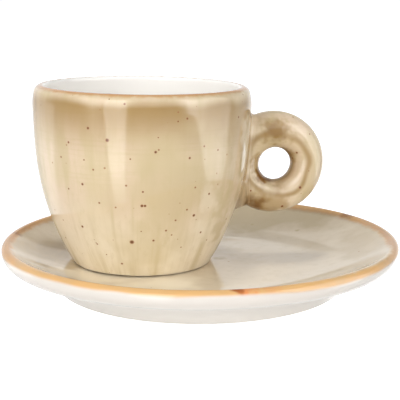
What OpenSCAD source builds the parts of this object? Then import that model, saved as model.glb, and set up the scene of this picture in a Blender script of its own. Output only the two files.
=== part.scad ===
// Espresso cup with a ring handle, standing on its saucer: thick glazed stoneware.
// Millimetres, +Z up. The origin is the centre of the saucer's foot, on the table,
// and the handle points to +X. Each outline below is drawn as [radius, height] and turned.

/* [Saucer] */
// Diameter over the lip
saucer_d = 120; // [114:1:140]
// Height of the lip's crown above the table
saucer_h = 13.9; // [13:0.1:17]
// Radius that rounds the lip's upper edge
lip_top_r = 1.8; // [1.4:0.1:2.2]
// Radius that rounds the lip's outer edge from below
lip_under_r = 4; // [3.2:0.1:4.6]
// Diameter of the flat floor, where the well starts to rise
floor_d = 58; // [50:1:62]
// Height of the flat floor above the table
floor_z = 6.4; // [5.8:0.1:7]
// Outer diameter of the foot ring, on the table
foot_d = 86.8; // [80:0.2:89]
// Width of the foot ring, on the table
foot_w = 3.4; // [2.6:0.1:5]
// Diameter of the shoulder, where the foot's wall turns out into the flange
shoulder_d = 94; // [91:0.5:98]
// Height of the shoulder
shoulder_z = 6.2; // [5.4:0.1:6.8]
// Radius of the cove under the shoulder
cove_r = 3; // [1.5:0.5:5]
// Depth of the hollow inside the foot ring
foot_hollow = 2; // [1.2:0.1:2.4]

/* [Cup] */
// Outside diameter at the lip
cup_d = 65.4; // [58:0.2:76]
// Height of the cup by itself
cup_h = 53.4; // [47:0.2:64]
// Diameter of the foot that the cup stands on
cup_foot_d = 42; // [38:0.2:46]
// Wall thickness, which the lip rounds off
wall = 4; // [3:0.1:5]
// Height at which the nearly upright upper wall passes into the rounded lower wall
turn_z = 32.8; // [28:0.2:36]
// Radius of the upper wall's slight curve, seen from the side
upper_r = 198; // [150:2:300]
// Thickness of the bottom, over the plane that the cup stands on
bottom_t = 5.2; // [4.4:0.1:7]
// Radius between the inner wall and the bottom
inner_r = 12; // [8:0.5:15]
// Width of the cup's foot ring
cup_foot_w = 2.8; // [2:0.1:4]
// Depth of the hollow inside the cup's foot ring
cup_hollow = 1.4; // [0.8:0.1:2]

/* [Handle] */
// Outer diameter of the ring
ring_d = 31.4; // [28:0.2:34]
// Thickness of the ring's round section
ring_t = 10.8; // [9:0.1:11.4]
// Distance of the ring's centre beyond the lip's edge, which leaves a web of wall between them
ring_reach = 7.4; // [6.4:0.1:9]
// Height of the ring's centre above the plane that the cup stands on
ring_z = 29.9; // [27:0.1:32]
// Turn of the handle about the cup's axis, away from +X
handle_turn = 7; // [-20:1:20]

/* [Place] */
// Place of the cup's foot on the saucer, across
cup_x = -18; // [-19:0.5:-12]
// Place of the cup's foot on the saucer, from front to back
cup_y = 1; // [-3:0.5:3]
// Clearance between the cup's foot and the saucer where they touch
seat_gap = 0.1; // [0.05:0.05:0.3]

/* [Hidden] */

// Glaze colours
cream_glaze = [0.80, 0.74, 0.66];
straw_glaze = [0.87, 0.79, 0.66];

// Largest distance between a curve and the short straight lines that draw it
curve_gap = 0.02;
// Radius that eases the edges of both foot rings
foot_edge_r = 0.7;
// Slope of the foot rings' inner walls, over the depth of the hollow
foot_slope_share = 0.6;
// Where the handle's roots leave the ring, as an angle up or down from the outward direction
root_angle = 110;
// How fast the roots flare towards the wall
root_taper = 7;
// Thickness of a root where it leaves the ring, against the ring's own
root_share = 0.95;

saucer_rad = saucer_d / 2;
floor_rad = floor_d / 2;
foot_rad = foot_d / 2;
shoulder_rad = shoulder_d / 2;
cup_foot_rad = cup_foot_d / 2;
ring_tube = ring_t / 2;
ring_rad = ring_d / 2 - ring_tube;
ring_out = cup_d / 2 + ring_reach;

// Points of an arc about a centre, from angle a to angle b
function arc_steps(r, turn) = max(2, ceil(abs(turn) / (2 * acos(1 - curve_gap / r))));
function arc(centre, r, a, b) =
    let (n = arc_steps(r, b - a))
    [for (i = [0 : n]) centre + r * [cos(a + (b - a) * i / n), sin(a + (b - a) * i / n)]];

// The arc that rounds corner b of the path a, b, c
function unit(v) = v / norm(v);
function heading(v) = atan2(v[1], v[0]);
function short_way(a) = a > 180 ? a - 360 : a < -180 ? a + 360 : a;
function rounded(a, b, c, r) =
    let (
        u = unit(a - b),
        w = unit(c - b),
        half = acos(u * w) / 2,
        centre = b + unit(u + w) * r / sin(half),
        from = heading(b + u * r / tan(half) - centre),
        to = heading(b + w * r / tan(half) - centre)
    )
    arc(centre, r, from, from + short_way(to - from));

// Saucer: both lip arcs end at the rim's outermost height, and the well's arc runs
// from the flat floor into the upper one
rim_z = saucer_h - lip_top_r;
lip_top = [saucer_rad - lip_top_r, rim_z];
lip_under = [saucer_rad - lip_under_r, rim_z];
lip_run = lip_top[0] - floor_rad;
lip_rise = lip_top[1] - floor_z;
well_r = (lip_run * lip_run + lip_rise * lip_rise - lip_top_r * lip_top_r)
    / (2 * (lip_rise + lip_top_r));
well_centre = [floor_rad, floor_z + well_r];
well_turn = asin(lip_run / (well_r + lip_top_r));

// The flange's underside leaves the shoulder along the tangent to the lip's lower arc
shoulder = [shoulder_rad, shoulder_z];
to_lip = lip_under - shoulder;
flange_heading = heading(to_lip) - asin(lip_under_r / norm(to_lip));
foot_outer = [foot_rad, 0];
foot_inner = [foot_rad - foot_w, 0];
foot_top = foot_inner + foot_hollow * [-foot_slope_share, 1];

// Height of the saucer's upper face at a radius out to the lip
function face_z(r) =
    r < floor_rad
        ? floor_z
        : well_centre[1] - sqrt(well_r * well_r - (r - floor_rad) * (r - floor_rad));

module saucer_outline() {
    polygon(concat(
        [[0, foot_hollow]],
        rounded([0, foot_hollow], foot_top, foot_inner, foot_edge_r),
        rounded(foot_top, foot_inner, foot_outer, foot_edge_r),
        rounded(foot_inner, foot_outer, shoulder, foot_edge_r),
        rounded(foot_outer, shoulder, lip_under, cove_r),
        arc(lip_under, lip_under_r, flange_heading - 90, 0),
        arc(lip_top, lip_top_r, 0, 90 + well_turn),
        arc(well_centre, well_r, well_turn - 90, -90),
        [[0, floor_z]]
    ));
}

// Cup: the wall is two arcs that share a tangent at the turn, and the lower one
// ends on the foot. The inner wall follows both at the wall's thickness.
lip_z = cup_h - wall / 2;
upper_centre = [cup_d / 2 - upper_r, lip_z];
turn_angle = asin((turn_z - lip_z) / upper_r);
turn_point = upper_centre + upper_r * [cos(turn_angle), sin(turn_angle)];
inward = unit(upper_centre - turn_point);
cup_foot = [cup_foot_rad, 0];
foot_to_turn = turn_point - cup_foot;
lower_r = -(foot_to_turn * foot_to_turn) / (2 * foot_to_turn * inward);
lower_centre = turn_point + lower_r * inward;
foot_angle = heading(cup_foot - lower_centre);

// The inner corner touches the bottom and the inner wall
inner_wall_r = lower_r - wall;
corner_z = bottom_t + inner_r;
corner_reach = inner_wall_r - inner_r;
corner_drop = corner_z - lower_centre[1];
corner = [lower_centre[0] + sqrt(corner_reach * corner_reach - corner_drop * corner_drop), corner_z];
corner_angle = heading(corner - lower_centre);

cup_foot_in = [cup_foot_rad - cup_foot_w, 0];
cup_foot_top = cup_foot_in + cup_hollow * [-foot_slope_share, 1];

// The outside of the wall, from the foot to the lip's height
outer_wall = concat(
    arc(lower_centre, lower_r, foot_angle, turn_angle),
    arc(upper_centre, upper_r, turn_angle, 0)
);

module cup_outline() {
    polygon(concat(
        [[0, cup_hollow]],
        rounded([0, cup_hollow], cup_foot_top, cup_foot_in, foot_edge_r),
        rounded(cup_foot_top, cup_foot_in, cup_foot, foot_edge_r),
        rounded(cup_foot_in, cup_foot, outer_wall[1], foot_edge_r),
        [for (p = outer_wall) if (p[1] > foot_edge_r) p],
        arc([cup_d / 2 - wall / 2, lip_z], wall / 2, 0, 180),
        arc(upper_centre, upper_r - wall, 0, turn_angle),
        arc(lower_centre, inner_wall_r, turn_angle, corner_angle),
        arc(corner, inner_r, corner_angle, -90),
        [[0, bottom_t]]
    ));
}

// The cup's outer shape as a solid, which shapes the face that the handle is joined with
module cup_solid() {
    rotate_extrude($fn = 96)
        polygon(concat([[0, 0]], outer_wall, [[0, lip_z]]));
}

// The cup stands off the saucer's centre, so the far edge of its foot rides up the
// well's curve and the cup leans a little towards the middle
off_centre = norm([cup_x, cup_y]);
stand_rad = cup_foot_rad - foot_edge_r;
lean = asin((face_z(off_centre + stand_rad) - floor_z) / (2 * stand_rad));
cup_z = floor_z + seat_gap + stand_rad * sin(lean);

module on_saucer() {
    translate([cup_x, cup_y, cup_z])
        rotate(a = lean, v = [cup_y, -cup_x, 0])
            children();
}

// One root, above or below: a cone that leaves the ring along its tangent, flares
// towards the wall and ends inside the cup, where it is cut away
root_len = ring_out - cup_foot_rad;
root_start = ring_tube * root_share;
root_end = root_start + root_len * tan(root_taper);
module root(side) {
    rotate([0, -side * root_angle, 0])
        translate([ring_rad, 0, 0])
            rotate([side > 0 ? 0 : 180, 0, 0])
                cylinder(h = root_len, r1 = root_start, r2 = root_end, $fn = 64);
}

module saucer() {
    color(cream_glaze)
        rotate_extrude($fn = 128) saucer_outline();
}

module cup_body() {
    color(straw_glaze)
        on_saucer()
            rotate_extrude($fn = 96) cup_outline();
}

module ring_handle() {
    color(straw_glaze)
        on_saucer()
            difference() {
                rotate([0, 0, handle_turn])
                    translate([ring_out, 0, ring_z]) {
                        rotate([90, 0, 0])
                            rotate_extrude($fn = 96)
                                translate([ring_rad, 0]) circle(r = ring_tube, $fn = 64);
                        root(1);
                        root(-1);
                    }
                cup_solid();
            }
}

saucer();
cup_body();
ring_handle();
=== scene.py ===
# %% [markdown]
# # An espresso cup with a ring handle, on its saucer
#
# The real thing is thick white stoneware. A straw-coloured reactive glaze covers the cup's
# outside, its handle and the saucer's face, and it breaks to orange on the saucer's lip.
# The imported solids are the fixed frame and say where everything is. This lesson dresses them
# in three finer surfaces, each worked out with numpy, and in glazes made of nodes.

# %% Load the frame
import math

import bpy
import numpy as np
from mathutils import Matrix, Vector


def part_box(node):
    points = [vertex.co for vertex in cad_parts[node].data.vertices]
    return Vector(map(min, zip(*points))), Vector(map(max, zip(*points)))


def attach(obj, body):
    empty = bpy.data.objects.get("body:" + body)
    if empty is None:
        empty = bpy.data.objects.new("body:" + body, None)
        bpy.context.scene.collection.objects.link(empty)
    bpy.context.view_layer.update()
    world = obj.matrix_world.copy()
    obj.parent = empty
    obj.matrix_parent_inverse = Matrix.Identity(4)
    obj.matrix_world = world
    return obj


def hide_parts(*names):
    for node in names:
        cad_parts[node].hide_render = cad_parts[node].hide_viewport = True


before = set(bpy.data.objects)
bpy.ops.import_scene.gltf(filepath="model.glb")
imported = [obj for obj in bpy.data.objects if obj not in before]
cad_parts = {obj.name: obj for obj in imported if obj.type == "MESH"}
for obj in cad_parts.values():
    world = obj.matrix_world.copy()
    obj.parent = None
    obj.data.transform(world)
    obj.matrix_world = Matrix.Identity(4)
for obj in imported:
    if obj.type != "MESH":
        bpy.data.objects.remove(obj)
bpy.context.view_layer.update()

for name in sorted(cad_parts):
    low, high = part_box(name)
    print(name, "spans", [round(1000 * size, 2) for size in high - low], "mm")

# %% [markdown]
# ## Sizes
# The surfaces repeat the solids' own driving sizes in millimetres, so they lie on them. The
# shoulder under the saucer is the exception: it is lower and softer than the solid's. Later
# cells also roll the cup's lip in, shift the ring's hole a little and fill the handle's
# corner. The last step, where an array becomes a mesh, turns millimetres into metres.

# %% Sizes of the saucer and the cup, in millimetres
MM = 0.001

SAUCER_RAD, SAUCER_H = 60.0, 13.9
LIP_TOP_R, LIP_UNDER_R = 1.8, 4.0
FLOOR_RAD, FLOOR_Z = 29.0, 6.4
FOOT_RAD, FOOT_W, FOOT_HOLLOW = 43.4, 3.4, 2.0
SHOULDER_RAD, SHOULDER_Z, COVE_R = 45.8, 4.1, 12.0

CUP_RAD, CUP_H, CUP_FOOT_RAD = 32.7, 53.4, 21.0
WALL, TURN_Z, UPPER_R = 4.0, 32.8, 198.0
BOTTOM_T, INNER_R, CUP_FOOT_W, CUP_HOLLOW = 5.2, 12.0, 2.8, 1.4

RING_OUT, RING_Z, RING_TURN = 40.1, 29.9, 7.0
RING_RAD, RING_TUBE = 10.3, 5.4
CUP_X, CUP_Y, SEAT_GAP = -18.0, 1.0, 0.1
FOOT_EDGE_R, FOOT_SLOPE = 0.7, 0.6

# %% [markdown]
# ## Outlines
# Both turned pieces start as half an outline: radius against height, from the middle of the
# underside, out and up over the lip, and back to the middle of the face. Straight runs and
# arcs that share tangents give the highlights of real thrown ware, which a subdivided box
# would only come near. So the outlines are written as arcs.

# %% Arcs and eased corners
def arc(centre, radius, start, end, count):
    """Points on an arc: the centre plus the radius times (cosine, sine) of each angle."""
    turn = np.radians(np.linspace(start, end, count))
    return np.asarray(centre) + radius * np.stack([np.cos(turn), np.sin(turn)], axis=1)


def heading(step):
    """A step's direction in degrees, from its two components."""
    return math.degrees(math.atan2(step[1], step[0]))


def eased(before, corner, after, radius, count=7):
    """The arc that rounds a corner. Its centre is on the corner's bisector, at the radius
    over the sine of half the corner's angle, and it ends where each side is touched."""
    before, corner, after = (np.asarray(p, float) for p in (before, corner, after))
    u = (before - corner) / np.linalg.norm(before - corner)
    w = (after - corner) / np.linalg.norm(after - corner)
    half = math.acos(u @ w) / 2
    centre = corner + (u + w) / np.linalg.norm(u + w) * radius / math.sin(half)
    start = heading(corner + u * radius / math.tan(half) - centre)
    end = heading(corner + w * radius / math.tan(half) - centre)
    return arc(centre, radius, start, start + (end - start + 180) % 360 - 180, count)


def evenly(outline, step):
    """The outline with points added on its long straight runs and arcs, so that no two
    neighbours are further apart than the step."""
    parts = []
    for a, b in zip(outline[:-1], outline[1:]):
        count = max(1, math.ceil(np.linalg.norm(b - a) / step))
        parts.append(a + (b - a) * np.arange(count)[:, None] / count)
    return np.concatenate(parts + [outline[-1:]])


def distances(outline):
    """Each point's distance from the outline's first point, measured along the outline."""
    steps = np.linalg.norm(np.diff(outline, axis=0), axis=1)
    return np.concatenate([[0], np.cumsum(steps)])


# %% The saucer's outline
rim_z = SAUCER_H - LIP_TOP_R
lip_top = np.array([SAUCER_RAD - LIP_TOP_R, rim_z])
lip_under = np.array([SAUCER_RAD - LIP_UNDER_R, rim_z])
lip_run, lip_rise = lip_top[0] - FLOOR_RAD, lip_top[1] - FLOOR_Z
WELL_R = (lip_run ** 2 + lip_rise ** 2 - LIP_TOP_R ** 2) / (2 * (lip_rise + LIP_TOP_R))
well_turn = math.degrees(math.asin(lip_run / (WELL_R + LIP_TOP_R)))
shoulder = np.array([SHOULDER_RAD, SHOULDER_Z])
to_lip = lip_under - shoulder
flange = heading(to_lip) - math.degrees(math.asin(LIP_UNDER_R / np.linalg.norm(to_lip)))
foot_outer, foot_inner = np.array([FOOT_RAD, 0.0]), np.array([FOOT_RAD - FOOT_W, 0.0])
foot_top = foot_inner + FOOT_HOLLOW * np.array([-FOOT_SLOPE, 1])

saucer_outline = np.concatenate([
    [[0, FOOT_HOLLOW]],
    eased([0, FOOT_HOLLOW], foot_top, foot_inner, FOOT_EDGE_R),
    eased(foot_top, foot_inner, foot_outer, FOOT_EDGE_R),
    eased(foot_inner, foot_outer, shoulder, FOOT_EDGE_R),
    eased(foot_outer, shoulder, lip_under, COVE_R, 15),
    arc(lip_under, LIP_UNDER_R, flange - 90, 0, 16),
    arc(lip_top, LIP_TOP_R, 0, 90 + well_turn, 18)[1:],
    arc([FLOOR_RAD, FLOOR_Z + WELL_R], WELL_R, well_turn - 90, -90, 60)[1:],
    [[0, FLOOR_Z]],
])
print("the well's arc has a radius of", round(WELL_R, 2), "mm")

# %% The cup's outline
lip_z = CUP_H - WALL / 2
upper_centre = np.array([CUP_RAD - UPPER_R, lip_z])
turn_angle = math.degrees(math.asin((TURN_Z - lip_z) / UPPER_R))
turn_point = arc(upper_centre, UPPER_R, turn_angle, turn_angle, 1)[0]
inward = (upper_centre - turn_point) / UPPER_R
foot_to_turn = turn_point - np.array([CUP_FOOT_RAD, 0])
LOWER_R = -(foot_to_turn @ foot_to_turn) / (2 * foot_to_turn @ inward)
lower_centre = turn_point + LOWER_R * inward
foot_angle = heading(np.array([CUP_FOOT_RAD, 0]) - lower_centre)

corner_z = BOTTOM_T + INNER_R
corner_reach, corner_drop = LOWER_R - WALL - INNER_R, corner_z - lower_centre[1]
inner_corner = np.array([lower_centre[0] + math.sqrt(corner_reach ** 2 - corner_drop ** 2), corner_z])
corner_angle = heading(inner_corner - lower_centre)

cup_foot, cup_foot_in = np.array([CUP_FOOT_RAD, 0]), np.array([CUP_FOOT_RAD - CUP_FOOT_W, 0])
cup_foot_top = cup_foot_in + CUP_HOLLOW * np.array([-FOOT_SLOPE, 1])
outer_wall = np.concatenate([
    arc(lower_centre, LOWER_R, foot_angle, turn_angle, 60),
    arc(upper_centre, UPPER_R, turn_angle, 0, 36)[1:],
])

# The wall begins to roll in below the lip, first gently and then round its crest
ROLL_Z, ROLL_R, CROWN_Z = 47.4, 16.0, 51.6
crown_tilt = (CROWN_Z - ROLL_Z) / ROLL_R
crown_r = (CUP_H - CROWN_Z) / (1 - math.sin(crown_tilt))
outer_wall = outer_wall[outer_wall[:, 1] < CROWN_Z]
outer_wall[:, 0] -= np.clip(outer_wall[:, 1] - ROLL_Z, 0, None) ** 2 / (2 * ROLL_R)
crown_out = CUP_RAD - (CROWN_Z - ROLL_Z) ** 2 / (2 * ROLL_R)
crown = np.array([crown_out - crown_r * math.cos(crown_tilt), CUP_H - crown_r])
inner_r = crown[0] - (CUP_RAD - WALL)

cup_outline = np.concatenate([
    [[0, CUP_HOLLOW]],
    eased([0, CUP_HOLLOW], cup_foot_top, cup_foot_in, FOOT_EDGE_R),
    eased(cup_foot_top, cup_foot_in, cup_foot, FOOT_EDGE_R),
    eased(cup_foot_in, cup_foot, outer_wall[1], FOOT_EDGE_R),
    outer_wall[outer_wall[:, 1] > FOOT_EDGE_R],
    arc(crown, crown_r, math.degrees(crown_tilt), 90, 16),
    arc([crown[0], CUP_H - inner_r], inner_r, 90, 180, 10)[1:],
    arc(upper_centre, UPPER_R - WALL, 0, turn_angle, 24),
    arc(lower_centre, LOWER_R - WALL, turn_angle, corner_angle, 30)[1:],
    arc(inner_corner, INNER_R, corner_angle, -90, 24)[1:],
    [[0, BOTTOM_T]],
])
print("the lower wall's arc has a radius of", round(LOWER_R, 2), "mm")

# %% [markdown]
# ## From arrays to pieces
# A turned surface is a grid: rows along the outline, columns round the axis. Both ends of the
# outline lie on the axis, so each closes in one point instead of a ring of doubled ones.
# Each piece also carries attributes, in millimetres or degrees, which its glaze reads later.

# %% Mesh makers
def turned(outline, columns):
    """A surface of revolution, (radius cos a, radius sin a, height), with one point at each
    pole. Returns points, faces, each point's angle and its place along the outline."""
    angle = np.linspace(0, 2 * np.pi, columns, endpoint=False)
    body = outline[1:-1]
    ring = np.stack([np.cos(angle), np.sin(angle)], axis=1)
    grid = np.empty((len(body), columns, 3))
    grid[..., :2] = body[:, None, :1] * ring
    grid[..., 2] = body[:, 1:]
    points = np.concatenate([grid.reshape(-1, 3), [[0, 0, outline[0, 1]], [0, 0, outline[-1, 1]]]])
    faces = grid_faces(len(body), columns, closed_rows=False).tolist()
    here = np.arange(columns)
    after = (here + 1) % columns
    pole = len(body) * columns
    top = pole - columns
    faces += [(pole, b, a) for a, b in zip(here, after)]
    faces += [(pole + 1, top + a, top + b) for a, b in zip(here, after)]
    along = distances(outline)
    angles = np.concatenate([np.tile(angle, len(body)), [0, 0]])
    place = np.concatenate([np.repeat(along[1:-1], columns), along[[0, -1]]])
    return points, faces, angles, place


def grid_faces(rows, columns, closed_rows, closed_columns=True):
    """Quads between neighbouring rows and columns. Where they are closed, the last row or
    column also joins the first."""
    row_steps = rows if closed_rows else rows - 1
    column_steps = columns if closed_columns else columns - 1
    i, j = np.meshgrid(np.arange(row_steps), np.arange(column_steps), indexing="ij")
    up, side = (i + 1) % rows, (j + 1) % columns
    return np.stack([i * columns + j, i * columns + side, up * columns + side, up * columns + j],
                    axis=-1).reshape(-1, 4)


def placed(name, data):
    """An object of the scene that holds a mesh, a lamp or a camera."""
    holder = bpy.data.objects.new(name, data)
    bpy.context.scene.collection.objects.link(holder)
    return holder


def make_piece(name, points, faces, **marks):
    """Puts millimetre points and their faces into a smooth mesh in metres. Each mark is an
    attribute of the points: one number or one vector each."""
    mesh = bpy.data.meshes.new(name)
    mesh.from_pydata((points * MM).tolist(), [], faces)
    mesh.polygons.foreach_set("use_smooth", np.ones(len(mesh.polygons), bool))
    for mark, values in marks.items():
        kind, field = ("FLOAT_VECTOR", "vector") if values.ndim == 2 else ("FLOAT", "value")
        layer = mesh.attributes.new(mark, kind, "POINT")
        layer.data.foreach_set(field, values.ravel().astype(np.float32))
    mesh.update()
    print(name, "has", sum(face.loop_total - 2 for face in mesh.polygons), "triangles")
    return placed(name, mesh)


# %% [markdown]
# ## A glaze that isn't quite flat
# Fired glaze settles a little thicker here and thinner there, so a bright window in it has a
# wavy edge. The waves are real geometry: a few broad ripples of some hundredths of a
# millimetre, added along the surface. A noise texture's bump would do for one picture, but
# then the mesh itself would be too perfect.

# %% Ripples of the glaze
WAVES, MOST_ROUND, MOST_ALONG, CALMING = 14, 14, 0.45, 0.35


def ripple(angle, height, seed, depth):
    """The sum of some sine waves round the piece and along it, with whole numbers of waves
    round it, so that it closes. The finer a wave is, the shallower. Each wave's counts and
    phase come from the seed. The highest crest is taken off everywhere, so the ripples only
    sink into the piece."""
    draw = np.random.default_rng(seed)
    around = draw.integers(1, MOST_ROUND + 1, WAVES)
    along = draw.uniform(-MOST_ALONG, MOST_ALONG, WAVES)
    phase = draw.uniform(0, 2 * np.pi, WAVES)
    share = depth / np.sqrt(1 + around * CALMING)
    turns = np.multiply.outer(angle, around) + np.multiply.outer(height, along) + phase
    wave = (share * np.sin(turns)).sum(-1)
    return wave - wave.max()


def outward(points, angle, amount, slope):
    """Moves points by an amount along the outline's normal, which slope gives as (out, up)."""
    step = np.stack([slope[:, 0] * np.cos(angle), slope[:, 0] * np.sin(angle), slope[:, 1]], axis=1)
    return points + amount[:, None] * step


def outline_normals(outline):
    """The outline's normals, to the right of its direction: (rise, minus run)."""
    step = np.gradient(outline, axis=0)
    step /= np.linalg.norm(step, axis=1)[:, None]
    return np.stack([step[:, 1], -step[:, 0]], axis=1)


def glazed(outline, columns, seed, depth, calm):
    """A turned surface with ripples along its normals. They fade to nothing at the axis, by
    the square of the radius over the calm radius."""
    points, faces, angle, place = turned(outline, columns)
    normal = outline_normals(outline)
    rows = np.concatenate([np.repeat(np.arange(1, len(outline) - 1), columns), [0, len(outline) - 1]])
    fade = np.clip(outline[rows, 0] / calm, 0, 1) ** 2
    wave = ripple(angle, place, seed, depth) * fade
    return outward(points, angle, wave, normal[rows]), faces, angle, place


# %% [markdown]
# ## The saucer
# A shallow plate with a foot ring below, a flat floor in the middle and a rolled lip. It is
# one turned surface. The attribute `lip` holds the distance from the lip's crest, positive
# over the face and negative down the outside, so the orange band can follow the lip.

# %% Make the saucer
MESH_STEP, RIPPLE_DEPTH = 0.9, 0.008
outline = evenly(saucer_outline, MESH_STEP)
crest = distances(outline)[np.argmax(outline[:, 1])]
points, faces, _, place = glazed(outline, columns=352, seed=4, depth=RIPPLE_DEPTH, calm=45)
saucer = make_piece("saucer_glazed", points, faces, lip=place - crest)

# %% [markdown]
# ## The cup
# The cup stands a little off the saucer's middle, so one edge of its foot has ridden up the
# well's curve and the cup leans by about one degree. It is turned upright first, and then
# leaned and moved onto the saucer. The attribute `own` keeps each point's place in the cup's
# own upright frame. The attribute `brush` has every point at the same distance from the axis,
# so streaks drawn with it run straight down the wall, also where the wall turns in. Here
# `lip` is positive down the outside and negative inside.

# %% How the cup sits on its saucer
off_centre = math.hypot(CUP_X, CUP_Y)
stand_rad = CUP_FOOT_RAD - FOOT_EDGE_R
far_edge = off_centre + stand_rad - FLOOR_RAD
far_rise = WELL_R - math.sqrt(WELL_R ** 2 - far_edge ** 2)
lean = math.asin(far_rise / (2 * stand_rad))
cup_z = FLOOR_Z + SEAT_GAP + stand_rad * math.sin(lean)
lean_turn = np.array(Matrix.Rotation(lean, 3, (CUP_Y, -CUP_X, 0)))


def on_saucer(points):
    """Leans points of the upright cup about its foot's centre, and puts them in place."""
    return points @ lean_turn.T + np.array([CUP_X, CUP_Y, cup_z])


print("the cup leans by", round(math.degrees(lean), 2), "degrees")

# %% Make the cup
BRUSH_RAD = 30
outline = evenly(cup_outline, MESH_STEP)
crest = distances(outline)[np.argmax(outline[:, 1])]
points, faces, angle, place = glazed(outline, columns=288, seed=11, depth=RIPPLE_DEPTH, calm=12)
brush = np.stack([BRUSH_RAD * np.cos(angle), BRUSH_RAD * np.sin(angle), points[:, 2]], axis=1)
cup = make_piece("cup_glazed", on_saucer(points), faces, own=points, brush=brush, lip=crest - place)

# %% [markdown]
# ## The ring handle
# The handle is a thick ring that runs into the wall, with glaze gathered in the corner where
# they meet. The ring alone is a torus whose hole sits a little outward and low. A boolean
# would join it to the wall with a hard line, so the corner is its own closed strip, shaped
# like the path of a ball that rolls round the ring while it touches both surfaces. The
# attribute `gap` holds the distance from the wall, and `around` the turn round the ring's
# section in degrees, from 0 outside to 180 in the hole.

# %% The ring
def wall_gap(points):
    """The distance of points in the cup's frame from its outside, and the wall's normal.
    The wall is two arcs, so this is the distance from the arc's centre minus its radius."""
    rad = np.hypot(points[..., 0], points[..., 1])
    flat = np.stack([rad, points[..., 2]], axis=-1)
    high = (flat[..., 1] > TURN_Z)[..., None]
    step = flat - np.where(high, upper_centre, lower_centre)
    length = np.linalg.norm(step, axis=-1)
    gap = length - np.where(high[..., 0], UPPER_R, LOWER_R)
    slope = step / length[..., None]
    normal = np.stack([slope[..., 0] * points[..., 0] / rad, slope[..., 0] * points[..., 1] / rad,
                       slope[..., 1]], axis=-1)
    return gap, normal


out = np.array([math.cos(math.radians(RING_TURN)), math.sin(math.radians(RING_TURN)), 0])
across = np.array([-out[1], out[0], 0])
up = np.array([0, 0, 1.0])
ring_centre = RING_OUT * out + RING_Z * up
HOLE_OUT, HOLE_DOWN = 0.27, 0.25


def ring_point(turn, around, swell=0):
    """A point of the ring: out along its spoke by the reach plus the tube's radius times a
    cosine, and across by that radius times a sine. The hole is off the ring's centre, so the
    reach and the tube vary with the turn. Also gives the tube's normal there."""
    shift = HOLE_OUT * np.cos(turn) - HOLE_DOWN * np.sin(turn)
    reach, tube = RING_RAD + shift, RING_TUBE - shift + swell
    spoke = np.cos(turn)[..., None] * out + np.sin(turn)[..., None] * up
    normal = np.cos(around)[..., None] * spoke + np.sin(around)[..., None] * across
    return ring_centre + reach[..., None] * spoke + tube[..., None] * normal, normal


TURNS, AROUND, BURIED = 320, 112, 1.0
turn, around = np.meshgrid(np.linspace(0, 2 * np.pi, TURNS, endpoint=False),
                           np.linspace(0, 2 * np.pi, AROUND, endpoint=False), indexing="ij")
ring_points, ring_normals = ring_point(turn, around)
ring_points += ring_normals * ripple(turn, around, seed=7, depth=0.01)[..., None]
# Points buried deeper in the wall than that depth are raised to it, so none shows in the cup
gap, normal = wall_gap(ring_points)
ring_points += normal * np.maximum(-BURIED - gap, 0)[..., None]
gap = wall_gap(ring_points)[0]
print("the ring leaves the wall by up to", round(float(gap.max()), 2), "mm")

# %% The corner where the ring meets the wall
CORNER_TOP, CORNER_LOW, SUNK = 1.3, 3.4, 0.7
STRIP, SECTION = 256, 14


def seek(low, high, test, steps=40):
    """Where test changes from true to false between low and high, found by halving the range
    again and again."""
    for _ in range(steps):
        middle = (low + high) / 2
        inside = test(middle)
        low, high = np.where(inside, middle, low), np.where(inside, high, middle)
    return (low + high) / 2


def cuts_wall(turn, around, ball):
    """Whether a ball that touches the ring there would reach into the wall."""
    centre, _ = ring_point(turn, around, swell=ball)
    return wall_gap(centre)[0] < ball


def path_end(turn, ball):
    """The turn at which a ball on the ring's outer line just touches the wall, looked for
    between the turn nearest the cup's axis and a given one."""
    return seek(np.array(math.pi), np.array(turn), lambda a: cuts_wall(a, np.zeros(()), ball))


phase = np.linspace(0, 2 * np.pi, STRIP, endpoint=False)
ball = (CORNER_TOP + CORNER_LOW) / 2 + (CORNER_TOP - CORNER_LOW) / 2 * np.cos(phase)
upper_end, lower_end = path_end(math.pi / 2, CORNER_TOP), path_end(1.5 * math.pi, CORNER_LOW)
middle, half = (upper_end + lower_end) / 2, (lower_end - upper_end) / 2
path_turn = middle - half * np.cos(phase)
path_around = seek(np.zeros(STRIP), np.full(STRIP, math.pi), lambda a: cuts_wall(path_turn, a, ball))
path_around *= np.sign(np.sin(phase))
centre, ring_side = ring_point(path_turn, path_around, swell=ball)
wall_side = wall_gap(centre)[1]

share = np.linspace(0, 1, SECTION)[None, :, None]
spread = np.arccos(np.clip((ring_side * wall_side).sum(-1), -1, 1))[:, None, None]
toward = (np.sin((1 - share) * spread) * ring_side[:, None]
          + np.sin(share * spread) * wall_side[:, None]) / np.sin(spread)
strip = centre[:, None] - ball[:, None, None] * toward
under_wall = strip[:, -1] - SUNK * wall_side
under_ring = strip[:, 0] - SUNK * ring_side
strip = np.concatenate([strip, under_wall[:, None], under_ring[:, None]], axis=1)
print("the corner's ball is", CORNER_TOP, "mm above and", CORNER_LOW, "mm below")

# %% Make the handle
ring_part = grid_faces(TURNS, AROUND, closed_rows=True)
corner_part = grid_faces(STRIP, strip.shape[1], closed_rows=True) + around.size
points = np.concatenate([ring_points.reshape(-1, 3), strip.reshape(-1, 3)])
ring_place = np.degrees(np.abs((around + np.pi) % (2 * np.pi) - np.pi))
strip_place = np.repeat(np.degrees(np.abs(path_around)), strip.shape[1])
handle = make_piece("handle_glazed", on_saucer(points), ring_part.tolist() + corner_part.tolist(),
                    own=points, gap=wall_gap(points)[0],
                    around=np.concatenate([ring_place.ravel(), strip_place]))

# %% [markdown]
# ## Glazes
# A glaze is a clear glossy coat over colour, so one principled shader with a low roughness
# gives its body, and nodes give its colour. Where the ware stands, its foot is wiped bare
# before firing, and the clay there is rough. The helpers below keep each recipe short.

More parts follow.
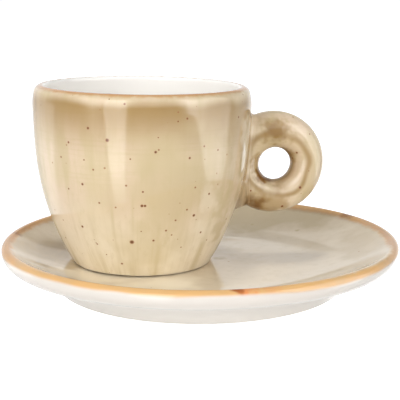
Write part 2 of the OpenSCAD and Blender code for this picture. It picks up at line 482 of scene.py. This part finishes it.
# %% Short calls for nodes
def paint(red, green, blue):
    """A colour as a paint chart gives it, 0 to 255, as the linear values a shader takes."""
    chart = np.array([red, green, blue]) / 255
    linear = np.where(chart <= 0.04045, chart / 12.92, ((chart + 0.055) / 1.055) ** 2.4)
    return (*linear.tolist(), 1.0)


BARE_CLAY, CLAY_ROUGH, GLAZE_IOR = paint(226, 217, 203), 0.65, 1.5


class Nodes:
    """Short calls that add nodes to a material or to the world."""

    def __init__(self, holder, bare=True):
        """Where bare is true, the nodes that a new holder starts with are taken out."""
        holder.use_nodes = True
        self.tree = holder.node_tree
        if bare:
            self.tree.nodes.clear()

    def add(self, kind, inputs=None, **settings):
        """Adds a node, sets its options, and fills its inputs with values or links."""
        node = self.tree.nodes.new("ShaderNode" + kind)
        for key, value in settings.items():
            setattr(node, key, value)
        for key, value in (inputs or {}).items():
            if isinstance(value, bpy.types.NodeSocket):
                self.tree.links.new(value, node.inputs[key])
            else:
                node.inputs[key].default_value = value
        return node

    def fade(self, value, low, high, start=0.0, end=1.0):
        """Goes from start to end, with soft ends, as the value goes from low to high."""
        return self.add("MapRange", {0: value, 1: low, 2: high, 3: start, 4: end},
                        interpolation_type="SMOOTHSTEP").outputs[0]

    def sum(self, a, b, operation="ADD"):
        """Two numbers added up, or joined by another operation."""
        return self.add("Math", {0: a, 1: b}, operation=operation).outputs[0]

    def over(self, share, under, top):
        """One colour laid over another by a share."""
        return self.add("Mix", {0: share, 6: under, 7: top}, data_type="RGBA").outputs[2]

    def end_glowing(self, shader, strength):
        """Ends a material with a shader and a white glow that is added to it."""
        glow = self.add("Emission", {"Strength": strength}).outputs[0]
        both = self.add("AddShader", {0: shader, 1: glow}).outputs[0]
        self.add("OutputMaterial", {"Surface": both})


class Recipe(Nodes):
    """The nodes of one glaze. Its calls return the sockets to go on from."""

    def __init__(self, name):
        self.material = bpy.data.materials.new(name)
        super().__init__(self.material, bare=False)
        self.shader = self.tree.nodes["Principled BSDF"]
        metres = self.add("TexCoord").outputs["Object"]
        self.place = self.stretch(metres, (1 / MM,) * 3)

    def mark(self, name, vector=False):
        """An attribute of the piece, as a number or a vector."""
        return self.add("Attribute", attribute_name=name).outputs["Vector" if vector else "Fac"]

    def part(self, vector, axis):
        """One component of a vector."""
        return self.add("SeparateXYZ", {0: vector}).outputs[axis]

    def stretch(self, vector, scale, shift=(0, 0, 0)):
        """The vector times a scale on each axis, and moved."""
        return self.add("VectorMath", {0: vector, 1: scale, 2: shift}, operation="MULTIPLY_ADD").outputs[0]

    def away(self, spot):
        """The distance from a point of the object."""
        return self.add("VectorMath", {0: self.place, 1: spot}, operation="DISTANCE").outputs["Value"]

    def toward(self, way):
        """The distance that a place lies along a direction."""
        return self.add("VectorMath", {0: self.place, 1: way}, operation="DOT_PRODUCT").outputs["Value"]

    def noise(self, vector, scale, detail=2.0, rough=0.5, warp=0.0):
        """Cloudy noise from 0 to 1, around 0.5."""
        return self.add("TexNoise", {"Vector": vector, "Scale": scale, "Detail": detail, "Roughness": rough,
                                     "Distortion": warp}).outputs["Fac"]

    def clouds(self, vector, scale, detail=2.0, rough=0.5, warp=0.0, shift=(0, 0, 0)):
        """Noise with a scale of its own on each axis, and moved."""
        return self.noise(self.stretch(vector, scale, shift), 1.0, detail, rough, warp)

    def wobble(self, cloud, reach):
        """Noise turned into a shift, from minus the reach to plus the reach."""
        return self.fade(cloud, 0.3, 0.7, -reach, reach)

    def spots(self, vector, size, low, high, chance):
        """Round specks, one to each cell of a size. Each cell's own colour decides how big
        its speck is, and whether it has one. 1 inside a speck and 0 outside."""
        cells = self.add("TexVoronoi", {"Vector": vector, "Scale": 1 / size, "Randomness": 1.0})
        draw = self.add("SeparateColor", {0: cells.outputs["Color"]})
        wide = self.fade(draw.outputs[0], 1 - chance, 1, low / size, high / size)
        has = self.sum(draw.outputs[0], 1 - chance, "GREATER_THAN")
        edge = self.sum(cells.outputs["Distance"], wide, "DIVIDE")
        return self.sum(self.fade(edge, 1.15, 0.55), has, "MULTIPLY")

    def blot(self, under, top, spot, reach, share):
        """A soft patch of another colour about a point of the object. A noise added to the
        distance from the point gives the patch an uneven border, broader on larger patches."""
        cloud = self.noise(self.place, min(0.3, 1.6 / reach), 2)
        border = self.sum(self.away(spot), self.wobble(cloud, 0.3 * reach))
        return self.over(self.fade(border, reach, 0.2 * reach, 0, share), under, top)

    def blots(self, under, spot_at, patches):
        """Some soft patches, each laid over the ones before. A patch is a colour, the two
        numbers that spot_at turns into a point, a reach and a share."""
        for top, first, second, reach, share in patches:
            under = self.blot(under, top, spot_at(first, second), reach, share)
        return under

    def footed(self, coat, height):
        """The coat down to the foot, which is wiped bare where it stands. Also gives the
        roughness: low and a little uneven on the glaze, and high on the bare clay."""
        bare = self.fade(height, 0.35, 0.1)
        sheen = self.fade(self.noise(self.place, 0.15, 3), 0.3, 0.7, 0.055, 0.095)
        rough = self.sum(sheen, self.sum(bare, CLAY_ROUGH, "MULTIPLY"))
        return self.over(bare, coat, BARE_CLAY), rough

    def finish(self, colour, rough, piece, slot):
        """Links the colour and roughness, and gives the material to a piece."""
        self.tree.links.new(colour, self.shader.inputs["Base Color"])
        self.tree.links.new(rough, self.shader.inputs["Roughness"])
        self.shader.inputs["IOR"].default_value = GLAZE_IOR
        piece.data.materials.append(self.material)
        print(self.material.name, "has", len(self.tree.nodes), "nodes")


# %% [markdown]
# ## The straw glaze
# The glaze was brushed and ran a little, so the colour changes in soft vertical streaks that
# follow the wall. Iron specks in it bled to brown. The largest ones are placed where they are
# on the real cup, and the many small ones come from a cell texture.

# %% Colours of the glaze
STRAW, ROSE_STRAW, KHAKI = paint(213, 194, 160), paint(217, 195, 167), paint(198, 180, 139)
PAINTED_LIGHT_STRAW = paint(232, 220, 197)
HONEY, LIP_BROWN, TREACLE = paint(158, 126, 72), paint(193, 142, 88), paint(124, 86, 44)
WHITE_BODY, IRON, RUST = paint(248, 245, 240), paint(104, 64, 40), paint(160, 104, 66)

# The largest specks, one by one. On the cup: angle round it, height on it, radius. On the ring:
# turn round the ring, turn round its section, radius.
CUP_SPECKS = [
    (-93, 11.5, 0.8), (-87, 22.7, 0.55), (-104, 41, 0.65), (-119, 28, 0.5), (-124, 15, 0.5),
    (-114, 44, 0.5), (-126, 39.5, 0.45), (-80.5, 38, 0.5), (-57, 19, 0.55), (-68, 18, 0.4),
    (-73, 15, 0.42), (-80, 12, 0.45), (-49, 25, 0.45), (-63, 36, 0.45), (-55, 39, 0.4),
    (-65, 47, 0.42), (-110, 23, 0.4), (-101, 22, 0.36), (-95, 28.5, 0.4), (-116, 10, 0.38),
    (-95.5, 51.0, 0.45), (-132, 35, 0.4), (-62, 21, 0.4), (-58.6, 27.4, 0.38), (-101, 4.2, 0.45),
    (-49, 13.2, 0.45), (-112, 32.5, 0.4), (-30, 46, 0.45), (-85.4, 22.7, 0.5), (-79, 38.6, 0.36),
]
RING_SPECKS = [(69, -28, 0.36), (41, -50, 0.36), (27, -126, 0.45), (317, -90, 0.55), (281, -55, 0.55)]


def wall_spot(angle, height):
    """The point of the cup's outside at an angle and a height, in place on the saucer."""
    rad = np.interp(height, outer_wall[:, 1], outer_wall[:, 0])
    turn = math.radians(angle)
    return tuple(on_saucer(np.array([rad * math.cos(turn), rad * math.sin(turn), height])))


def ring_spot(turn, around):
    """The point of the ring at a turn round it and a turn round its section, in place."""
    return tuple(on_saucer(ring_point(np.radians(turn), np.radians(around))[0]))


def straw_coat(recipe, brush):
    """The colour of the straw glaze: streaks along the wall, deeper clouds, faint level lines in
    the upper half, from the wheel, and painted light that makes it paler towards the bottom."""
    height = recipe.part(brush, 2)
    fine = recipe.clouds(brush, (0.9, 0.9, 0.04), 3, 0.55)
    broad = recipe.clouds(brush, (0.17, 0.17, 0.03), 3, 0.5, 0.3)
    cloud = recipe.clouds(brush, (0.07, 0.07, 0.05), 2, 0.5, 0.4, shift=(5, 0, 3))
    mottle = recipe.clouds(brush, (0.5, 0.5, 0.3), 4, 0.65, shift=(2, 7, 1))
    turning = recipe.clouds(brush, (0.06, 0.06, 1.3), 3, 0.6)
    colour = recipe.over(recipe.fade(cloud, 0.38, 0.62), STRAW, ROSE_STRAW)
    # Painted light: paler towards the bottom, as if the lower wall caught more light from below
    colour = recipe.over(recipe.fade(height, 28, 5, 0, 0.9), colour, PAINTED_LIGHT_STRAW)
    colour = recipe.over(recipe.fade(broad, 0.45, 0.7, 0, 0.7), colour, KHAKI)
    colour = recipe.over(recipe.fade(fine, 0.5, 0.8, 0, 0.25), colour, KHAKI)
    colour = recipe.over(recipe.fade(mottle, 0.5, 0.75, 0, 0.3), colour, KHAKI)
    level = recipe.fade(turning, 0.45, 0.75, 0, 0.3)
    return recipe.over(recipe.sum(level, recipe.fade(height, 20, 34), "MULTIPLY"), colour, KHAKI)


def speckled(recipe, coat, specks):
    """The coat with its iron specks. A small one has bled so far that no dark middle is left."""
    small = recipe.spots(recipe.place, size=2.6, low=0.14, high=0.36, chance=0.6)
    strength = recipe.fade(recipe.noise(recipe.place, 0.4), 0.3, 0.6, 0.25, 0.8)
    dots = recipe.sum(small, strength, "MULTIPLY")
    for spot, size in specks:
        speck = recipe.fade(recipe.away(spot), size * 1.1, size * 0.3, 0, min(1, size / 0.52))
        dots = recipe.sum(dots, speck, "MAXIMUM")
    bled = recipe.over(recipe.fade(dots, 0.0, 0.5, 0, 0.7), coat, RUST)
    return recipe.over(recipe.fade(dots, 0.45, 1.0, 0, 0.9), bled, IRON)


# %% Glaze the cup
glaze = Recipe("cup_glaze_straw")
own, brush, lip = glaze.mark("own", vector=True), glaze.mark("brush", vector=True), glaze.mark("lip")
coat = straw_coat(glaze, brush)
wave = glaze.clouds(brush, (0.08, 0.08, 0.02), 2, 0.4)
below = glaze.sum(lip, glaze.wobble(wave, 0.8))
thick = glaze.sum(glaze.fade(below, 2.4, 5.6), glaze.fade(below, 21, 4.5), "MULTIPLY")
coat = glaze.over(glaze.sum(thick, glaze.fade(wave, 0.25, 0.6, 0.55, 0.95), "MULTIPLY"), coat, HONEY)
# The pale straw patches are painted highlights: the right window's band carried on down the wall, and the
# bright right edge of the cup
coat = glaze.blots(coat, wall_spot, [
    (KHAKI, -76, 29, 22, 0.6), (KHAKI, -84, 9, 14, 0.5), (PAINTED_LIGHT_STRAW, -46.6, 23, 6, 0.5),
    (PAINTED_LIGHT_STRAW, -45, 14, 6, 0.5), (KHAKI, -33, 22, 7, 0.6), (KHAKI, -31, 13, 6, 0.6),
    (HONEY, -30, 40, 9, 0.2), (PAINTED_LIGHT_STRAW, -15, 40, 7, 0.8),
])
coat = speckled(glaze, coat, [(wall_spot(angle, height), size) for angle, height, size in CUP_SPECKS])
ragged = glaze.clouds(own, (0.5, 0.5, 0), 2)
edge = glaze.sum(lip, glaze.wobble(ragged, 0.2))
coat = glaze.over(glaze.fade(edge, 2.3, 1.0, 0, 0.9), coat, LIP_BROWN)
coat = glaze.over(glaze.fade(edge, 0.0, -0.45), coat, WHITE_BODY)
coat, rough = glaze.footed(coat, glaze.part(own, 2))
glaze.finish(coat, rough, cup, "cup_glaze")

# %% Glaze the handle
glaze = Recipe("handle_glaze_straw")
own, from_wall, place_round = glaze.mark("own", vector=True), glaze.mark("gap"), glaze.mark("around")
coat = straw_coat(glaze, own)
pool = glaze.clouds(own, (0.08, 0.08, 0.08), 1, 0.4, shift=(3, 1, 4))
drift = glaze.sum(place_round, glaze.wobble(pool, 9))
ridge = glaze.fade(glaze.sum(glaze.sum(drift, 96, "SUBTRACT"), 0, "ABSOLUTE"), 15, 1)
coat = glaze.over(glaze.sum(ridge, glaze.fade(pool, 0.3, 0.6, 0.5, 0.8), "MULTIPLY"), coat, HONEY)
# Darker in the hole: pooled glaze, and painted shade inside the hole
coat = glaze.over(glaze.fade(drift, 142, 178, 0, 0.95), coat, HONEY)
# The patches at -150 degrees round the section and beyond lie in the hole: pooled glaze there, darkened
# further as painted shade
coat = glaze.blots(coat, ring_spot, [
    (HONEY, 92, -92, 6.0, 0.9), (HONEY, 265, -74, 8.0, 0.65), (HONEY, 225, -150, 4.5, 0.8),
    (HONEY, 30, -150, 3.5, 0.7), (HONEY, 182, -152, 5.0, 0.9), (HONEY, 246, -48, 5.5, 0.7),
    (TREACLE, 222, -168, 4.5, 0.9), (TREACLE, 252, -162, 3.4, 0.9), (TREACLE, 35, -172, 3.5, 0.7),
    (TREACLE, 92, -92, 4.5, 0.35), (TREACLE, 247, -48, 4.0, 0.8),
])
near_wall = glaze.sum(from_wall, glaze.wobble(pool, 1.5))
coat = glaze.over(glaze.fade(near_wall, 2.6, 0.4, 0, 0.5), coat, HONEY)
low_root = glaze.fade(glaze.part(own, 2), 21, 17)
root = glaze.sum(low_root, glaze.fade(from_wall, 6.0, 2.5), "MULTIPLY")
coat = glaze.over(glaze.sum(root, 0.1, "MULTIPLY"), coat, TREACLE)
coat = speckled(glaze, coat, [(ring_spot(turn, around), size) for turn, around, size in RING_SPECKS])
coat, rough = glaze.footed(coat, glaze.part(own, 2))
glaze.finish(coat, rough, handle, "cup_glaze")

# %% [markdown]
# ## The saucer's glazes
# The saucer's face has a greyer, mottled run of the same glaze. It breaks to orange on the
# crest of the lip, where it is thin, and stops there: the underside is white, greyed by
# painted shade just below the lip and towards the foot.

# %% Glaze the saucer
SAND, PALE_SAND, OLIVE = paint(218, 203, 178), paint(224, 210, 186), paint(190, 173, 136)
PAINTED_LIGHT_MILKY, GREY_BROWN, BURNT = paint(251, 241, 219), paint(190, 169, 131), paint(190, 136, 76)
ORANGE, TOFFEE = paint(222, 175, 114), paint(150, 98, 54)
AMBER, SIENNA = paint(222, 142, 84), paint(164, 88, 34)
SHADED_WHITE, CLEAR_WHITE = paint(224, 217, 209), paint(252, 248, 241)


def face_spot(turn, radius):
    """The point of the saucer's face at an angle round it and a radius."""
    rise = WELL_R - math.sqrt(WELL_R ** 2 - max(0, radius - FLOOR_RAD) ** 2)
    return radius * math.cos(math.radians(turn)), radius * math.sin(math.radians(turn)), FLOOR_Z + rise


glaze = Recipe("saucer_glaze_straw")
broad = glaze.noise(glaze.place, 0.04, 3, 0.5, 0.3)
fine = glaze.noise(glaze.place, 0.35, 4, 0.6)
coat = glaze.over(glaze.fade(broad, 0.38, 0.62), SAND, PALE_SAND)
coat = glaze.over(glaze.fade(fine, 0.45, 0.8, 0, 0.25), coat, OLIVE)
across_it, back = glaze.part(glaze.place, 0), glaze.part(glaze.place, 1)
uneven = glaze.wobble(glaze.noise(glaze.place, 0.06, 3), 6)
# Painted shade: olive towards the back, reaching further forward on the right
shade_to_back = glaze.sum(glaze.sum(back, uneven), glaze.fade(across_it, 0, 50, 0, 9))
coat = glaze.over(glaze.fade(shade_to_back, 34, 42, 0, 0.6), coat, OLIVE)
# The grey-brown patches are painted shade and a painted reflection: the dark studio mirrored on the left,
# the cup's shadow on the right and at the back left, and faint shadow by its foot
coat = glaze.blots(coat, face_spot, [
    (GREY_BROWN, 178, 47, 22, 0.75), (GREY_BROWN, 5, 50, 20, 0.45), (GREY_BROWN, -25, 50, 14, 0.3),
    (GREY_BROWN, 150, 40, 12, 0.5), (GREY_BROWN, 8, 14.4, 8, 0.25), (GREY_BROWN, 54, 15, 7, 0.25),
    # The milky patches in front of the cup are painted light and the cup's painted reflection
    (PAINTED_LIGHT_MILKY, -112, 36, 24, 1.0), (PAINTED_LIGHT_MILKY, -147, 42, 16, 0.8),
])
dots = glaze.spots(glaze.place, size=4.4, low=0.14, high=0.42, chance=0.4)
coat = glaze.over(glaze.fade(dots, 0.1, 1, 0, 0.5), coat, RUST)
coat = glaze.blots(coat, face_spot, [
    (OLIVE, 43, 44.5, 1.2, 0.7), (OLIVE, 66, 44, 1.0, 0.7), (OLIVE, 18, 6.3, 2.4, 0.7),
])

# The band's inner and outer borders wander, and both change towards the front and the ends
lip = glaze.mark("lip")
drift, crumbly = glaze.noise(glaze.place, 0.05, 2, 0.4), glaze.noise(glaze.place, 0.4, 2, 0.5)
front_right, front_left = glaze.toward((0.77, -0.64, 0)), glaze.toward((-0.82, -0.57, 0))
inner = glaze.sum(lip, glaze.sum(glaze.wobble(drift, 0.5), glaze.wobble(crumbly, 0.25)))
inner = glaze.sum(inner, glaze.fade(front_left, 46, 58, 0, 1.6))
inner = glaze.sum(inner, glaze.fade(front_right, 46, 58, 0, 2.4))
inner = glaze.sum(inner, glaze.fade(across_it, 56, 59.5, 0, -0.9))
outer = glaze.sum(lip, glaze.wobble(drift, -0.3))
outer = glaze.sum(outer, glaze.fade(front_left, 42, 54, 0, -0.45))
outer = glaze.sum(outer, glaze.fade(front_right, 46, 58, 0, 0.5))
outer = glaze.sum(outer, glaze.fade(across_it, -50, -58, -0.2, 0.6))

# Orange over the lip, browner in patches, at both ends and along the back's inner border
coat = glaze.over(glaze.fade(inner, 3.2, 1.2), coat, ORANGE)
patchy = glaze.clouds(glaze.place, (0.12, 0.12, 0.12), 3, 0.6, shift=(4, 2, 0))
sideways = glaze.sum(across_it, 0, "ABSOLUTE")
tan = glaze.sum(glaze.fade(patchy, 0.35, 0.65), glaze.fade(sideways, 25, 55, 0.15, 0.4), "MULTIPLY")
coat = glaze.over(glaze.sum(tan, glaze.fade(inner, 3.4, 1.8), "MULTIPLY"), coat, GREY_BROWN)
at_ends = glaze.sum(glaze.fade(sideways, 48, 58, 0, 0.7), glaze.fade(inner, 2.6, 1.4), "MULTIPLY")
coat = glaze.over(at_ends, coat, BURNT)
browned = glaze.sum(glaze.fade(back, 0, 40, 0, 0.32), glaze.fade(inner, 0.5, 2.0), "MULTIPLY")
hem = glaze.sum(browned, glaze.fade(inner, 4.2, 2.4), "MULTIPLY")
coat = glaze.over(hem, coat, TOFFEE)
CREST_RAD = SAUCER_RAD - LIP_TOP_R
coat = glaze.blots(coat, face_spot, [
    (AMBER, -78.2, CREST_RAD, 4.6, 0.9), (AMBER, -73, CREST_RAD, 4.0, 0.3),
    (SIENNA, -81.7, CREST_RAD, 2.1, 0.95), (SIENNA, -80.7, CREST_RAD, 2.2, 0.95),
    (TOFFEE, 31, CREST_RAD, 3.6, 0.8), (TOFFEE, 174.5, CREST_RAD, 3.0, 0.6),
])
# Painted shade: the white is greyer just below the lip and towards the foot
white = glaze.over(glaze.fade(lip, -4.5, -8.5), SHADED_WHITE, CLEAR_WHITE)
white = glaze.over(glaze.fade(lip, -16, -23, 0, 0.52), white, SHADED_WHITE)
coat = glaze.over(glaze.fade(outer, -2.1, -3.2), coat, white)
coat, rough = glaze.footed(coat, glaze.part(glaze.place, 2))
glaze.finish(coat, rough, saucer, "saucer_glaze")

# %% Put the pieces on their bodies
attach(saucer, "saucer")
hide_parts("saucer")
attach(cup, "cup")
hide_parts("cup_body")
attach(handle, "cup")
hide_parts("ring_handle")

# %% [markdown]
# ## The studio
# A pale floor, a bright backdrop and four soft lamps. The backdrop's white is in the world,
# which shows white to the camera and to anything that mirrors it, while less of it lights
# the ware. All lengths from here on are in metres.

# %% Floor
FLOOR_SIZE = 60.0
LIT_WHITE, SEEN_WHITE, SEEN_GLOW = (0.94, 0.94, 0.94, 1), (0.6, 0.6, 0.6, 1), 0.86
floor_mesh = bpy.data.meshes.new("studio_floor")
corners = FLOOR_SIZE / 2 * np.array([(-1, -1), (1, -1), (1, 1), (-1, 1)])
floor_mesh.from_pydata([(x, y, 0) for x, y in corners.tolist()], [], [(0, 1, 2, 3)])
floor = placed("studio_floor", floor_mesh)

floor_paint = bpy.data.materials.new("floor_white")
nodes = Nodes(floor_paint)
seen = nodes.add("LightPath").outputs["Is Camera Ray"]
matt = nodes.add("BsdfDiffuse", {"Color": nodes.over(seen, LIT_WHITE, SEEN_WHITE)}).outputs[0]
nodes.end_glowing(matt, nodes.sum(seen, SEEN_GLOW, "MULTIPLY"))
floor_mesh.materials.append(floor_paint)
floor.visible_glossy = False

# %% World
LIGHTING_SHARE = 0.28
world = bpy.data.worlds.new("studio")
bpy.context.scene.world = world
nodes = Nodes(world)
rays = nodes.add("LightPath").outputs
way = nodes.add("SeparateXYZ", {0: nodes.add("TexCoord").outputs["Generated"]}).outputs

# In what the ware mirrors, the paper backdrop ends about 33 degrees up, and in the right
# half at about 20. Steeply below the object is its own shadow on the table.
above = nodes.fade(way["Z"], 0.53, 0.57, 0, 0.5)
in_right_half = nodes.fade(way["X"], -0.020, -0.012)
beside = nodes.sum(nodes.fade(way["Z"], 0.32, 0.35, 0, 0.5), in_right_half, "MULTIPLY")
below = nodes.fade(way["Z"], -0.4, -0.9, 0, 0.4)
dark = nodes.sum(nodes.sum(above, beside, "MAXIMUM"), below, "MAXIMUM")
white = nodes.sum(1, nodes.sum(dark, rays["Is Glossy Ray"], "MULTIPLY"), "SUBTRACT")
seen = nodes.sum(rays["Is Camera Ray"], rays["Is Glossy Ray"], "MAXIMUM")
seen = nodes.sum(seen, rays["Is Transmission Ray"], "MAXIMUM")
level = nodes.add("MapRange", {0: seen, 3: LIGHTING_SHARE, 4: white}).outputs[0]
shine = nodes.add("Background", {"Color": (1, 1, 1, 1), "Strength": level}).outputs[0]
nodes.add("OutputWorld", {"Surface": shine})

# %% Lamps
LAMP_AIM = (0, 0, 0.03)


def softbox(name, place, size, power):
    """A flat rectangular lamp at a place, turned to face the middle of the set."""
    lamp = bpy.data.lights.new(name, "AREA")
    lamp.shape = "RECTANGLE"
    lamp.size, lamp.size_y = size
    lamp.energy = power
    away = np.array(place) - np.array(LAMP_AIM)
    away /= np.linalg.norm(away)
    side = np.cross([0, 0, 1], away)
    side /= np.linalg.norm(side)
    turn = Matrix(np.stack([side, np.cross(away, side), away], axis=1).tolist()).to_4x4()
    holder = placed(name, lamp)
    holder.matrix_world = Matrix.Translation(place) @ turn
    holder.visible_glossy = False


softbox("left_softbox", (-0.55, -0.80, 0.28), (0.5, 0.5), 4.0)
softbox("right_softbox", (0.60, -0.70, 0.30), (0.5, 0.5), 4.0)
softbox("high_left_softbox", (-0.70, -0.30, 0.60), (0.5, 0.4), 2.6)
softbox("overhead_lamp", (0.0, 0.15, 1.0), (0.16, 0.16), 2.4)

# %% [markdown]
# ## White cards for the gloss
# A photographer stands strips of white card round a glossy pot, so that the glaze mirrors
# calm bright bands. Here each card is a curved strip that only shiny surfaces see. It adds
# its glow to the backdrop behind it and fades at its borders.

# %% Cards
CARD_FAR, CARD_WIDE, CARD_TALL = 1.2, 41, 25


def card(name, azimuths, heights, glow, foot=None, soft=0.15, dip=0.15, slant=(1, 1)):
    """Part of a sphere round the object, from one azimuth and elevation to another, in
    degrees. Below the horizon it narrows to the azimuths of its foot. Its glow falls to
    nothing over the soft share of its width and of its top, and the dip share of its foot.
    Before that it goes from one share of the glow to another across the card, by the slant."""
    u, v = np.meshgrid(np.linspace(0, 1, CARD_WIDE), np.linspace(0, 1, CARD_TALL), indexing="ij")
    rise = heights[0] + (heights[1] - heights[0]) * v
    upper, lower = np.array(azimuths), np.array(foot or azimuths)
    open_share = np.clip(1 - rise / min(heights[0], -1), 0, 1)[..., None]
    sides = lower + (upper - lower) * open_share
    turn = np.radians(sides[..., 0] + (sides[..., 1] - sides[..., 0]) * u)
    level, lift = np.cos(np.radians(rise)), np.sin(np.radians(rise))
    grid = CARD_FAR * np.stack([np.cos(turn) * level, np.sin(turn) * level, lift], axis=-1)
    faces = grid_faces(CARD_WIDE, CARD_TALL, closed_rows=False, closed_columns=False)
    mesh = bpy.data.meshes.new(name)
    mesh.from_pydata(grid.reshape(-1, 3).tolist(), [], faces.tolist())
    edge = np.clip(np.minimum(u, 1 - u) / soft, 0, 1) * np.clip((1 - v) / soft, 0, 1)
    edge *= np.clip(v / dip, 0, 1)
    share = edge * edge * (3 - 2 * edge) * (slant[0] + (slant[1] - slant[0]) * u)
    mesh.attributes.new("edge", "FLOAT", "POINT").data.foreach_set("value", share.ravel())
    strip = placed(name, mesh)
    for ray in ("camera", "diffuse", "transmission", "shadow", "volume_scatter"):
        setattr(strip, "visible_" + ray, False)
    paper = bpy.data.materials.new(name + "_white")
    nodes = Nodes(paper)
    fading = nodes.add("Attribute", attribute_name="edge").outputs["Fac"]
    clear = nodes.add("BsdfTransparent").outputs[0]
    nodes.end_glowing(clear, nodes.sum(fading, glow, "MULTIPLY"))
    mesh.materials.append(paper)


card("card_left", (-129, -101), (-45, 50), 3.7, foot=(-119, -109), dip=0.35)
card("card_right", (-47, 20), (-30, 50), 2.3, foot=(-2, 13), dip=0.2, slant=(1.7, 0.8))
card("card_front", (-168, -20), (13, 50), 1.6, soft=0.1, dip=0.1)
card("card_back_left", (130, 178), (-30, 10), 0.9, foot=(125, 160), soft=0.2, dip=0.4, slant=(0.2, 1.7))
card("card_back_right", (42, 84), (-45, 10), 0.6, soft=0.4, dip=0.35)

# %% [markdown]
# ## The camera
# It stands where the photographer stood: about 0.3 m in front and a little above the cup,
# looking down by 11.5 degrees. Its place, its turns and its lens were fitted to the outlines
# of the saucer and the cup, once the saucer's diameter was settled.

# %% Camera, with turns in radians and the focal length and frame in pixels
CAMERA_BACK, CAMERA_UP = 0.30875, 0.08804
TILT, ROLL, FOCAL, FRAME = 0.2008, -0.0029, 1036.36, 400
SENSOR_MM, NEAREST = 36, 0.01
camera_data = bpy.data.cameras.new("camera")
camera_data.sensor_width = SENSOR_MM
camera_data.lens = FOCAL / FRAME * SENSOR_MM
camera_data.clip_start = NEAREST
camera = placed("camera", camera_data)
camera.matrix_world = (Matrix.Translation((0, -CAMERA_BACK, CAMERA_UP))
                       @ Matrix.Rotation(math.pi / 2 - TILT, 4, "X") @ Matrix.Rotation(ROLL, 4, "Z"))
bpy.context.scene.camera = camera
bpy.context.scene.view_settings.view_transform = "Standard"
